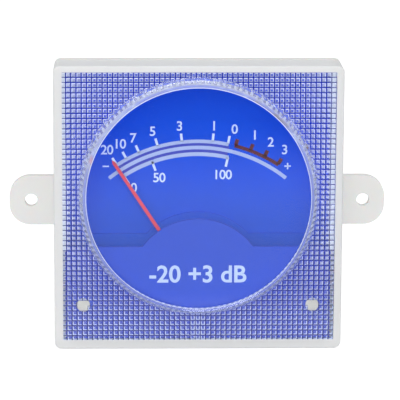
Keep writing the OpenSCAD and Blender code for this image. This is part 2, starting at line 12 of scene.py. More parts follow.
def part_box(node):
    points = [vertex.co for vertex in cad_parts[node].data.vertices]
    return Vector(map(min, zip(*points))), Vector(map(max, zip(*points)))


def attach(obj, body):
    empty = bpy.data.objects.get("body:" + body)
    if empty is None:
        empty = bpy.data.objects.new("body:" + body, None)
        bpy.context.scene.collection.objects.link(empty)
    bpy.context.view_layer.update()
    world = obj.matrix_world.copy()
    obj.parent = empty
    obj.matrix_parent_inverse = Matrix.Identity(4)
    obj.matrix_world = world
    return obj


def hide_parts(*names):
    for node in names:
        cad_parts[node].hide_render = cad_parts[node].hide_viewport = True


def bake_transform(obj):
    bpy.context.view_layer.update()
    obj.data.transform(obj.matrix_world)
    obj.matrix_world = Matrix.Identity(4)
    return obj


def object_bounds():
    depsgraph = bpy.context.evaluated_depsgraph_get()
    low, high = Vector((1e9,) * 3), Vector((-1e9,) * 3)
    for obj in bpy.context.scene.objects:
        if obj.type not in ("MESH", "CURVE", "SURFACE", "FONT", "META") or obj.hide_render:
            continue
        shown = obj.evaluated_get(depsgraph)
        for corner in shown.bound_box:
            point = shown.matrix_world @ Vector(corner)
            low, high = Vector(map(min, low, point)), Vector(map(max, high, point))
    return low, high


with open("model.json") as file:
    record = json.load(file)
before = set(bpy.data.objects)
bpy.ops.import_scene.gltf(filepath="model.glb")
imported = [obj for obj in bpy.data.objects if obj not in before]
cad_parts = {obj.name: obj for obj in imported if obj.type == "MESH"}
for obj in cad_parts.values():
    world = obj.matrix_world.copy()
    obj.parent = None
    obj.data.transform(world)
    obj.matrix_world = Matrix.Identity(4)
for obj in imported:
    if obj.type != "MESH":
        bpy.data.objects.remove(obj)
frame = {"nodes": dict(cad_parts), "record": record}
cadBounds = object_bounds()
nodes = frame["nodes"]
mm = 0.001
upright = Matrix.Rotation(math.radians(90), 4, "X")  # turns a flat drawing in XY to face the reader
print("frame loaded:", len(nodes), "nodes")


def toLinear(hexColour):
    channels = [int(hexColour[i:i + 2], 16) / 255 for i in (1, 3, 5)]
    return [c / 12.92 if c <= 0.04045 else ((c + 0.055) / 1.055) ** 2.4 for c in channels] + [1]


def addNode(tree, kind, values=None, links=None):
    node = tree.nodes.new(kind)
    for key, value in (values or {}).items():
        if isinstance(key, int) or key in node.inputs:
            node.inputs[key].default_value = value
        else:
            setattr(node, key, value)
    for key, source in (links or {}).items():
        tree.links.new(source, node.inputs[key])
    return node


def newObject(name, bm):
    mesh = bpy.data.meshes.new(name)
    bm.to_mesh(mesh)
    bm.free()
    piece = bpy.data.objects.new(name, mesh)
    bpy.context.scene.collection.objects.link(piece)
    return piece


def softenEdges(piece, width, segments=2, angle=35):
    bevel = piece.modifiers.new("softEdges", "BEVEL")
    bevel.width = width * mm
    bevel.segments = segments
    bevel.limit_method = "ANGLE"
    bevel.angle_limit = math.radians(angle)
    bevel.profile = 0.5
    bevel.material = -1


def applyModifiers(piece):
    view = bpy.context.evaluated_depsgraph_get()
    finished = bpy.data.meshes.new_from_object(piece.evaluated_get(view))
    piece.modifiers.clear()
    piece.data = finished


def smoothByAngle(piece, degrees):
    bm = bmesh.new()
    bm.from_mesh(piece.data)
    for face in bm.faces:
        face.smooth = True
    for edge in bm.edges:
        edge.smooth = len(edge.link_faces) == 2 and edge.calc_face_angle(0) < math.radians(degrees)
    bm.to_mesh(piece.data)
    bm.free()
    flatter = piece.modifiers.new("largeFacesLead", "WEIGHTED_NORMAL")
    flatter.weight = 100
    flatter.keep_sharp = True
    applyModifiers(piece)


def combine(body, tool, operation):
    change = body.modifiers.new(operation, "BOOLEAN")
    change.operation = operation
    change.object = tool
    change.solver = "EXACT"
    applyModifiers(body)
    bpy.data.objects.remove(tool)


copyValues = {
    "mergeWithin": 0.0005,  # mm
    "flatWithin": 0.5,  # degrees
}


def copyNode(nodeName, name, dissolve=True):
    bm = bmesh.new()
    bm.from_mesh(nodes[nodeName].data)
    bmesh.ops.remove_doubles(bm, verts=bm.verts, dist=copyValues["mergeWithin"] * mm)
    if dissolve:
        bmesh.ops.dissolve_limit(bm, angle_limit=math.radians(copyValues["flatWithin"]), verts=bm.verts,
                                 edges=bm.edges)
    return newObject(name, bm)


def finishPiece(piece, material, body, slot, *replaced):
    piece.data.materials.clear()
    piece.data.materials.append(material)
    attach(piece, body)
    if replaced:
        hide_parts(*replaced)
    return piece


# Camera at the photograph's viewing angle
cameraValues = {
    "azimuth": -1.74,  # degrees, from the front towards +X
    "elevation": 11.98,
    "roll": 0.265,
    "target": (0.353, -7.5, 1.573),  # mm, in the middle of the picture
    "distance": 528,
    "lens": 228.4,
    "sensorWidth": 36,
    "clipStart": 10,
}


def makeCamera():
    v = cameraValues
    azimuth, elevation, roll = (math.radians(v[k]) for k in ("azimuth", "elevation", "roll"))
    forward = Vector((-math.sin(azimuth) * math.cos(elevation), math.cos(azimuth) * math.cos(elevation),
                      -math.sin(elevation)))
    right = forward.cross(Vector((0, 0, 1))).normalized()
    up = right.cross(forward)
    tiltedRight = math.cos(roll) * right + math.sin(roll) * up
    tiltedUp = math.cos(roll) * up - math.sin(roll) * right
    camera = bpy.data.objects.new("camera", bpy.data.cameras.new("camera"))
    camera.data.lens = v["lens"]
    camera.data.sensor_width = v["sensorWidth"]
    camera.data.clip_start = v["clipStart"] * mm
    place = Matrix((tiltedRight, tiltedUp, -forward)).transposed().to_4x4()
    place.translation = (Vector(v["target"]) - v["distance"] * forward) * mm
    camera.matrix_world = place
    bpy.context.scene.collection.objects.link(camera)
    bpy.context.scene.camera = camera


makeCamera()
print("camera placed")


# White table, light tent and one soft lamp
stageValues = {
    "floorBelow": 0.2,  # mm under the lowest edge
    "floorFront": -282,  # mm, the near edge of the white table, which the window mirrors
    # mm over which the painted shade at the table's front edge fades out
    "paintedEdgeShadeWidth": 136,
    "floorBack": 1500,
    "floorHalfWidth": 1200,
    "throughFrom": (-60, -20),  # mm, where the floor begins to look white through the cover
    "pictureFrom": (-60, -48),  # mm, where the part of the floor that the picture shows begins
    "floorColour": "#E6E6E6",
    "floorFrontColour": "#C4C4C4",  # of the part in front of the picture, which the window mirrors
    "floorGlow": 0.5,
    "darkness": 0.02,  # of what the upper half of the window mirrors
    "darkTop": (-0.12, -0.05),  # the edges of that patch of the world, as parts of a direction's length
    "darkSides": (0.09, 0.12),
    "darkBack": (-0.1, 0.1),
    "skyWhite": 0.9,
    "skyGlow": 0.88,
    "horizonGain": 1.15,
    "zenithGain": 0.75,
    "lampPower": 3.5,
    "lampSize": 420,
    "lampPlace": (-100, -800, 420),
}


def makeStage():
    v = stageValues
    dark = (v["darkness"], v["darkness"], v["darkness"], 1)
    tentWhite = (v["skyWhite"], v["skyWhite"], v["skyWhite"], 1)
    bm = bmesh.new()
    bmesh.ops.create_grid(bm, x_segments=1, y_segments=1, size=1)
    depth = (v["floorBack"] - v["floorFront"]) / 2
    bmesh.ops.scale(bm, vec=(v["floorHalfWidth"] * mm, depth * mm, 1), verts=bm.verts)
    floorLevel = cadBounds[0][2] - v["floorBelow"] * mm
    bmesh.ops.translate(bm, vec=(0, (v["floorFront"] + depth) * mm, floorLevel), verts=bm.verts)
    floor = newObject("floor", bm)
    paper = bpy.data.materials.new("whitePaper")
    paper.use_nodes = True
    tree = paper.node_tree
    tree.nodes.clear()
    # Through the cover the floor shows as bright as beside it, but not in what the cover mirrors from in front
    rays = addNode(tree, "ShaderNodeLightPath")
    spot = addNode(tree, "ShaderNodeTexCoord")
    spot = addNode(tree, "ShaderNodeSeparateXYZ", None, {0: spot.outputs["Object"]})
    start, end = v["throughFrom"]
    behind = addNode(tree, "ShaderNodeMapRange", {"From Min": start * mm, "From Max": end * mm},
                     {"Value": spot.outputs["Y"]})
    through = addNode(tree, "ShaderNodeMath", {"operation": "MULTIPLY"},
                      {0: rays.outputs["Is Transmission Ray"], 1: behind.outputs[0]})
    seen = addNode(tree, "ShaderNodeMath", {"operation": "MAXIMUM"},
                   {0: rays.outputs["Is Camera Ray"], 1: through.outputs[0]})
    glow = addNode(tree, "ShaderNodeMath", {"operation": "MULTIPLY", 1: v["floorGlow"]}, {0: seen.outputs[0]})
    # The table's front edge carries painted shade, a dark that fades in softly where the window mirrors it, but
    # the camera itself sees white paper all round
    edge = addNode(tree, "ShaderNodeMapRange",
                   {"From Min": v["floorFront"] * mm, "From Max": (v["floorFront"] + v["paintedEdgeShadeWidth"]) * mm,
                    "interpolation_type": "SMOOTHSTEP"}, {"Value": spot.outputs["Y"]})
    edge = addNode(tree, "ShaderNodeMath", {"operation": "MAXIMUM"},
                   {0: edge.outputs[0], 1: rays.outputs["Is Camera Ray"]})
    paint = addNode(tree, "ShaderNodeMix", {"data_type": "RGBA", 6: dark, 7: toLinear(v["floorFrontColour"])},
                    {0: edge.outputs[0]})
    start, end = v["pictureFrom"]
    pictured = addNode(tree, "ShaderNodeMapRange", {"From Min": start * mm, "From Max": end * mm},
                       {"Value": spot.outputs["Y"]})
    pictured = addNode(tree, "ShaderNodeMath", {"operation": "MAXIMUM"},
                       {0: pictured.outputs[0], 1: rays.outputs["Is Camera Ray"]})
    paint = addNode(tree, "ShaderNodeMix", {"data_type": "RGBA", 7: toLinear(v["floorColour"])},
                    {0: pictured.outputs[0], 6: paint.outputs[2]})
    lit = addNode(tree, "ShaderNodeBsdfDiffuse", None, {"Color": paint.outputs[2]})
    shine = addNode(tree, "ShaderNodeEmission", None, {"Strength": glow.outputs[0]})
    both = addNode(tree, "ShaderNodeAddShader", None, {0: lit.outputs[0], 1: shine.outputs[0]})
    addNode(tree, "ShaderNodeOutputMaterial", None, {"Surface": both.outputs[0]})
    floor.data.materials.append(paper)

    world = bpy.data.worlds.new("studio")
    bpy.context.scene.world = world
    world.use_nodes = True
    tree = world.node_tree
    tree.nodes.clear()
    direction = addNode(tree, "ShaderNodeTexCoord")
    height = addNode(tree, "ShaderNodeSeparateXYZ", None, {0: direction.outputs["Generated"]})
    # Only a dark patch straight ahead and below is mirrored by the upper half of the window
    start, end = v["darkTop"]
    above = addNode(tree, "ShaderNodeMapRange", {"From Min": start, "From Max": end},
                    {"Value": height.outputs["Z"]})
    start, end = v["darkSides"]
    aside = addNode(tree, "ShaderNodeMath", {"operation": "ABSOLUTE"}, {0: height.outputs["X"]})
    aside = addNode(tree, "ShaderNodeMapRange", {"From Min": start, "From Max": end},
                    {"Value": aside.outputs[0]})
    above = addNode(tree, "ShaderNodeMath", {"operation": "MAXIMUM"},
                    {0: above.outputs[0], 1: aside.outputs[0]})
    start, end = v["darkBack"]
    behind = addNode(tree, "ShaderNodeMapRange", {"From Min": start, "From Max": end},
                     {"Value": height.outputs["Y"]})
    behind = addNode(tree, "ShaderNodeMath", {"operation": "MAXIMUM"},
                     {0: behind.outputs[0], 1: above.outputs[0]})
    rays = addNode(tree, "ShaderNodeLightPath")
    through = addNode(tree, "ShaderNodeMath", {"operation": "MULTIPLY"},
                      {0: rays.outputs["Is Transmission Ray"], 1: behind.outputs[0]})
    seen = addNode(tree, "ShaderNodeMath", {"operation": "MAXIMUM"},
                   {0: rays.outputs["Is Camera Ray"], 1: through.outputs[0]})
    sky = addNode(tree, "ShaderNodeMix", {"data_type": "RGBA", 6: dark, 7: tentWhite}, {0: above.outputs[0]})
    shown = addNode(tree, "ShaderNodeMix", {"data_type": "RGBA", 7: (1, 1, 1, 1)},
                    {0: seen.outputs[0], 6: sky.outputs[2]})
    # The tent is brightest at eye level
    glow = addNode(tree, "ShaderNodeMapRange",
                   {"From Min": 0.0, "From Max": 1.0, "To Min": v["skyGlow"] * v["horizonGain"],
                    "To Max": v["skyGlow"] * v["zenithGain"]}, {"Value": height.outputs["Z"]})
    strength = addNode(tree, "ShaderNodeMix", {"data_type": "FLOAT", 3: 1.0},
                       {0: seen.outputs[0], 2: glow.outputs[0]})
    background = addNode(tree, "ShaderNodeBackground", None,
                         {"Color": shown.outputs[2], "Strength": strength.outputs[0]})
    addNode(tree, "ShaderNodeOutputWorld", None, {"Surface": background.outputs[0]})

    lamp = bpy.data.lights.new("softbox", "AREA")
    lamp.energy = v["lampPower"]
    lamp.size = v["lampSize"] * mm
    box = bpy.data.objects.new("softbox", lamp)
    box.location = Vector(v["lampPlace"]) * mm
    box.rotation_euler = (-box.location).to_track_quat("-Z", "Y").to_euler()
    bpy.context.scene.collection.objects.link(box)


makeStage()
bpy.context.scene.view_settings.view_transform = "Standard"
print("stage and light set")


def addPaintedShadeBelow(tree, place, v):
    # Painted shade lower down: "low" holds the colour that a surface turns to, and the heights in mm between
    # which it does
    last, start, end = v["low"]
    fall = addNode(tree, "ShaderNodeMapRange", {"From Min": start * mm, "From Max": end * mm},
                   {"Value": place.outputs["Z"]})
    return addNode(tree, "ShaderNodeMix", {"data_type": "RGBA", 7: toLinear(last)}, {0: fall.outputs[0]})


def makeSurface(v):
    material = bpy.data.materials.new(v["name"])
    material.use_nodes = True
    tree = material.node_tree
    tree.nodes.clear()
    place = addNode(tree, "ShaderNodeTexCoord")
    patches = addNode(tree, "ShaderNodeTexNoise", {"Scale": 1 / (v["patch"] * mm), "Detail": 3.0},
                      {"Vector": place.outputs["Object"]})
    grain = addNode(tree, "ShaderNodeTexNoise", {"Scale": 1 / (v["grain"] * mm), "Detail": 2.0},
                    {"Vector": place.outputs["Object"]})
    colour = addNode(tree, "ShaderNodeMix",
                     {"data_type": "RGBA", 6: toLinear(v["colour"]), 7: toLinear(v["shade"])},
                     {0: patches.outputs["Fac"]})
    if "low" in v:
        height = addNode(tree, "ShaderNodeSeparateXYZ", None, {0: place.outputs["Object"]})
        lower = addPaintedShadeBelow(tree, height, v)
        tree.links.new(colour.outputs[2], lower.inputs[6])
        colour = lower
    rough = addNode(tree, "ShaderNodeMapRange", {"To Min": v["rough"][0], "To Max": v["rough"][1]},
                    {"Value": grain.outputs["Fac"]})
    bump = addNode(tree, "ShaderNodeBump", {"Strength": 0.3, "Distance": v["grainDepth"] * mm},
                   {"Height": grain.outputs["Fac"]})
    surface = addNode(tree, "ShaderNodeBsdfPrincipled", {"Metallic": v.get("metallic", 0.0)},
                      {"Base Color": colour.outputs[2], "Roughness": rough.outputs[0],
                       "Normal": bump.outputs[0]})
    for key in v.get("extra", {}):
        surface.inputs[key].default_value = v["extra"][key]
    addNode(tree, "ShaderNodeOutputMaterial", None, {"Surface": surface.outputs[0]})
    return material


# Polystyrene of the cover, moulded: its finish changes with how the mould was polished or etched, and it carries
# painted light and shade for the light that comes in through the border. "fades" holds the axis, its sign or 0
# for both, where the fading starts and ends in mm, and the last clearness, and "clearBelow" the heights in mm
# between which the clearness rises again, and to what
clearIor = 1.59
clearValues = {
    # Polished: water clear
    "clear": {"name": "clearPolystyrene", "colour": "#FBFCFF", "rough": 0.03, "clearness": 1.0},
    # Etched, on the border and the sides: white and dull
    "matt": {"name": "mattPolystyrene", "colour": "#EFEFED", "rough": 0.5, "clearness": 0.33},
    # Slope of the rim, less polished: faintly hazy
    "rim": {"name": "satinPolystyrene", "colour": "#EEF1FC", "rough": 0.06, "clearness": 0.86},
    # Etched, inside: bluish white; it also gives the last cells beside the sides their painted light
    "frosted": {"name": "frostedAndPaintedLightPolystyrene", "colour": "#EAF2FF", "rough": 0.3, "clearness": 0.2},
    # Front of the rim: silky
    "rimFront": {"name": "silkyPolystyrene", "colour": "#E6ECFC", "rough": 0.12, "clearness": 0.7},
    # Bottoms of the cells: clear low down, and painted light towards the top and the sides, a whiter haze for
    # the light that comes in through the border
    "cell": {"name": "borderLitPaintedPolystyrene", "colour": "#E8EEFF", "rough": 0.05, "clearness": 0.97,
             "fades": [("Z", 1, -10, 28.5, 0.8), ("X", 0, 20, 28.5, 0.2)], "clearBelow": (-4, -20, 0.93)},
    # Between the cells: painted shade, deep blue and darker low down, for the light that the plastic leads away
    # there
    "groove": {"name": "paintedShadePolystyrene", "colour": "#5A61B6", "rough": 0.05, "clearness": 1.0,
               "low": ("#1E2C8A", -2, -22)},
    # Slopes that face the border at a side, at the top and at the foot: painted highlights, whiter and less
    # clear, for the border's light that they catch
    "facingSide": {"name": "sideHighlightPaintedPolystyrene", "colour": "#D8E2FF", "rough": 0.25, "clearness": 0.6,
                   "fades": [("X", 0, 6, 26, 0.02)], "clearBelow": (-4, -20, 0.4)},
    "facingTop": {"name": "topHighlightPaintedPolystyrene", "colour": "#DCE5FF", "rough": 0.25, "clearness": 0.85,
                  "fades": [("Z", 1, 0, 28.5, 0.22)]},
    "facingFoot": {"name": "footHighlightPaintedPolystyrene", "colour": "#CEDCFF", "rough": 0.25, "clearness": 0.8,
                   "fades": [("Z", -1, 0, 26, 0.04)]},
    # The other slopes: a soft painted highlight, only half bright, growing towards the top
    "facingAway": {"name": "halfHighlightPaintedPolystyrene", "colour": "#E4ECFF", "rough": 0.1, "clearness": 0.97,
                   "fades": [("Z", 1, 0, 28.5, 0.58)]},
}


def makeClear(v):
    material = bpy.data.materials.new(v["name"])
    material.use_nodes = True
    tree = material.node_tree
    tree.nodes.clear()
    body = addNode(tree, "ShaderNodeBsdfPrincipled",
                   {"Base Color": toLinear(v["colour"]), "Transmission Weight": v["clearness"],
                    "IOR": clearIor, "Roughness": v["rough"]})
    if "fades" in v or "low" in v:
        place = addNode(tree, "ShaderNodeTexCoord")
        place = addNode(tree, "ShaderNodeSeparateXYZ", None, {0: place.outputs["Object"]})
    if "fades" in v:
        clearness = None
        for axis, sign, start, end, last in v["fades"]:
            reach = addNode(tree, "ShaderNodeMath", {"operation": "MULTIPLY" if sign else "ABSOLUTE", 1: sign},
                            {0: place.outputs[axis]})
            fade = addNode(tree, "ShaderNodeMapRange",
                           {"From Min": start * mm, "From Max": end * mm, "To Min": v["clearness"],
                            "To Max": last}, {"Value": reach.outputs[0]})
            if clearness:
                fade = addNode(tree, "ShaderNodeMath", {"operation": "MINIMUM"},
                               {0: clearness.outputs[0], 1: fade.outputs[0]})
            clearness = fade
        if "clearBelow" in v:
            start, end, last = v["clearBelow"]
            foot = addNode(tree, "ShaderNodeMapRange",
                           {"From Min": start * mm, "From Max": end * mm, "To Max": last},
                           {"Value": place.outputs["Z"]})
            clearness = addNode(tree, "ShaderNodeMath", {"operation": "MAXIMUM"},
                                {0: clearness.outputs[0], 1: foot.outputs[0]})
        tree.links.new(clearness.outputs[0], body.inputs["Transmission Weight"])
    if "low" in v:
        colour = addPaintedShadeBelow(tree, place, v)
        colour.inputs[6].default_value = toLinear(v["colour"])
        tree.links.new(colour.outputs[2], body.inputs["Base Color"])
    gap = addNode(tree, "ShaderNodeBsdfTransparent", {"Color": toLinear(v["colour"])})
    rays = addNode(tree, "ShaderNodeLightPath")
    both = addNode(tree, "ShaderNodeMixShader", None,
                   {0: rays.outputs["Is Shadow Ray"], 1: body.outputs[0], 2: gap.outputs[0]})
    addNode(tree, "ShaderNodeOutputMaterial", None, {"Surface": both.outputs[0]})
    return material


# "patch" and "grain" are the sizes in mm of the two patterns. The grain of the metals is really about 0.02 mm,
# and is drawn coarser so that it shows
surfaces = {
    # Natural polypropylene, moulded: milky, with a faint flow pattern and a soft sheen
    "case": {"name": "milkyPolypropylene", "colour": "#E6E6E4", "shade": "#DEDFDD", "patch": 9, "grain": 0.5,
             "grainDepth": 0.01, "rough": (0.32, 0.45),
             "extra": {"Subsurface Weight": 0.25, "Subsurface Scale": 0.002, "IOR": 1.49}},
    # Aluminium sheet with screened blue enamel: even and slightly orange-peeled, with painted shade that darkens
    # it towards the foot
    "dial": {"name": "blueScreenEnamel", "colour": "#184FD1", "shade": "#1A51D5", "patch": 12, "grain": 0.4,
             "grainDepth": 0.004, "rough": (0.55, 0.7), "extra": {"Specular IOR Level": 0.05},
             "low": ("#1750B8", 6, -12)},
    # The same enamel on the mask: a shade lighter
    "mask": {"name": "blueMaskEnamel", "colour": "#2C4FBE", "shade": "#2E51C2", "patch": 12, "grain": 0.4,
             "grainDepth": 0.004, "rough": (0.55, 0.7), "extra": {"Specular IOR Level": 0.05}},
    # Steel, turned and nickel plated: warm grey, half dull
    "plated": {"name": "nickelPlate", "colour": "#D6D5CC", "shade": "#CBCAC0", "patch": 2, "grain": 0.15,
               "grainDepth": 0.003, "rough": (0.4, 0.55), "metallic": 1.0},
    # Phenolic, pressed: nearly black and dull
    "black": {"name": "blackPhenolic", "colour": "#1C1C1E", "shade": "#232325", "patch": 3, "grain": 0.2,
              "grainDepth": 0.01, "rough": (0.5, 0.65)},
    # Soft iron, turned and annealed: plain grey
    "iron": {"name": "softIron", "colour": "#7C7F85", "shade": "#6C6F74", "patch": 3, "grain": 0.2,
             "grainDepth": 0.006, "rough": (0.35, 0.5), "metallic": 1.0},
    # Magnet alloy, cast: dark, with a rough skin
    "magnet": {"name": "castMagnetAlloy", "colour": "#56565A", "shade": "#48484C", "patch": 2, "grain": 0.3,
               "grainDepth": 0.02, "rough": (0.5, 0.65), "metallic": 1.0},
    # Brass, turned or stamped: yellow, with fine tool marks
    "brass": {"name": "turnedBrass", "colour": "#D0AE66", "shade": "#BD9A55", "patch": 2, "grain": 0.12,
              "grainDepth": 0.004, "rough": (0.22, 0.36), "metallic": 1.0},
    # Synthetic ruby, polished: deep red with a hard gloss
    "ruby": {"name": "syntheticRuby", "colour": "#B01038", "shade": "#C81848", "patch": 0.5, "grain": 0.2,
             "grainDepth": 0.001, "rough": (0.05, 0.1), "extra": {"IOR": 1.77}},
    # Aluminium strip, sprayed with red enamel: bright, half gloss
    "red": {"name": "redPointerEnamel", "colour": "#DC4058", "shade": "#D63C54", "patch": 2, "grain": 0.2,
            "grainDepth": 0.003, "rough": (0.35, 0.5)},
    # Aluminium foil, rolled: pale with a soft shine
    "foil": {"name": "rolledAluminium", "colour": "#D2D4D8", "shade": "#C3C5CA", "patch": 1.5, "grain": 0.1,
             "grainDepth": 0.003, "rough": (0.25, 0.4), "metallic": 1.0},
    # Steel, hardened and lapped: bright
    "steel": {"name": "hardenedSteel", "colour": "#AFB0B5", "shade": "#A2A3A8", "patch": 1, "grain": 0.1,
              "grainDepth": 0.002, "rough": (0.15, 0.25), "metallic": 1.0},
    # Phosphor bronze, rolled to strip: golden brown and smooth
    "bronze": {"name": "phosphorBronze", "colour": "#C99658", "shade": "#B9874A", "patch": 1, "grain": 0.1,
               "grainDepth": 0.002, "rough": (0.2, 0.3), "metallic": 1.0},
    # Brass, dipped in tin: silvery, a little wavy
    "tinned": {"name": "tinnedBrass", "colour": "#C9C8C2", "shade": "#B8B6AE", "patch": 1.5, "grain": 0.2,
               "grainDepth": 0.008, "rough": (0.25, 0.42), "metallic": 1.0},
    # Copper wire in clear enamel, wound: red brown and glossy
    "copper": {"name": "enamelledCopper", "colour": "#A85A2A", "shade": "#94491F", "patch": 1, "grain": 0.1,
               "grainDepth": 0.004, "rough": (0.2, 0.32), "metallic": 1.0},
    # Vinyl sleeve, extruded: red with a dull shine
    "wire": {"name": "redWireSleeve", "colour": "#B21E18", "shade": "#A01A15", "patch": 2, "grain": 0.3,
             "grainDepth": 0.004, "rough": (0.4, 0.5)},
    # Screen inks on the enamel: matt, and tinted by the blue under them, the more so the thinner the coat
    "whiteInk": {"name": "whiteInk", "colour": "#D2E2FA", "shade": "#CADBF5", "patch": 3, "grain": 0.2,
                 "grainDepth": 0.002, "rough": (0.5, 0.6)},
    "letterInk": {"name": "paleInk", "colour": "#BCD0EE", "shade": "#B4C8E8", "patch": 3, "grain": 0.2,
                  "grainDepth": 0.002, "rough": (0.5, 0.6)},
    "paleInk": {"name": "paleBlueInk", "colour": "#AABCE2", "shade": "#A3B5DC", "patch": 3, "grain": 0.2,
                "grainDepth": 0.002, "rough": (0.5, 0.6)},
    "redInk": {"name": "darkRedInk", "colour": "#601A26", "shade": "#551620", "patch": 3, "grain": 0.2,
               "grainDepth": 0.002, "rough": (0.5, 0.6)},
    "edgeInk": {"name": "navyInk", "colour": "#3440B8", "shade": "#303CB0", "patch": 3, "grain": 0.2,
                "grainDepth": 0.002, "rough": (0.5, 0.6)},
}
finishes = {key: makeSurface(values) for key, values in surfaces.items()}
for key, values in clearValues.items():
    finishes[key] = makeClear(values)
print("materials made:", len(finishes))

slotFinishes = {
    "clear_cover": "clear", "milky_case": "case", "dial_blue": "dial", "mask_blue": "mask",
    "plated_steel": "plated", "black_moulding": "black", "soft_iron": "iron", "magnet_alloy": "magnet",
    "brass": "brass", "ruby": "ruby", "pointer_red": "red", "coil_foil": "foil", "coil_copper": "copper",
    "pivot_steel": "steel", "spring_bronze": "bronze", "tinned_brass": "tinned", "lead_insulation": "wire",
}
for part in frame["record"]["subparts"]:
    mesh = nodes[part["node"]].data
    mesh.materials.clear()
    mesh.materials.append(finishes[slotFinishes[part["material_slot"]]])


# Clear cover, with its texture moulded into the inside
coverValues = {
    "cornerRadius": 1.4,
    "cornerSegments": 8,
    "edgeRadius": 0.3,
    "edgeAngle": 70,
    "rimRadius": 0.1,
    "rimAngle": 40,
    "rimSegments": 180,
    "smoothAngle": 20,
    "wall": 2.0,
    "sideWall": 1.5,
    "flangeGap": 0.02,
    "windowRadius": 23.35,
    "footRadius": 25.05,
    "rimHeight": 2.5,
    "rimRoot": 0.8,  # mm that the rim goes into the wall
    "windowZ": 2.5,
    "windowThickness": 2.0,
    "recessRadii": (23.5, 23.6),
    "recessDrop": 0.4,
    "recessDepth": 3.2,
    "notches": 126,  # painted ones in the recess behind the window, where it cuts through the texture: painted shade above the middle, a painted highlight below it
    "cells": 53,  # in each row of the moulded texture
    "groove": 0.15,  # mm, half the flat way between two cells
    "slope": 0.21,
    "cellDepth": 0.08,
    "litTo": 31.2,  # mm from the border that a cell's slope faces, within which it gets a painted highlight
    "footSides": -21,  # mm, under which the slopes to the sides are as bright as those to the foot
    "paleFrom": 27.5,  # mm from the middle, from where the last cells are painted whiter for the etched sides' light
    "paleAbove": -9,  # mm
    "plainRadius": 23.45,  # mm, round the window, where the cells begin
    "pinPlain": 1.5,  # mm, round each pin
    "pinPlaces": ((-24, -20.9), (24, -20.9)),
    "mattFrom": 28.5,  # mm from the middle
    # mm, how far its inner edge lies to the right at the left side, and up at the foot and at the top
    "mattShift": (0.3, 0.45, 0.15),
    "mattRim": 1.2,  # mm under the window's face, where the rim turns matt
    "near": 0.1,  # mm, how far a face may lie from where it is looked for
    "rimNear": 0.2,
    "underFace": 0.02,
    "roundedNormals": (-0.99, -0.6),  # the Y of a normal, on the rim's rounded edge
    "slopeNormal": -0.1,
    "wallNormal": 0.3,
}
coverFinishes = ["clear", "matt", "rim", "frosted", "rimFront", "cell", "groove", "facingSide", "facingTop",
                 "facingFoot", "facingAway"]


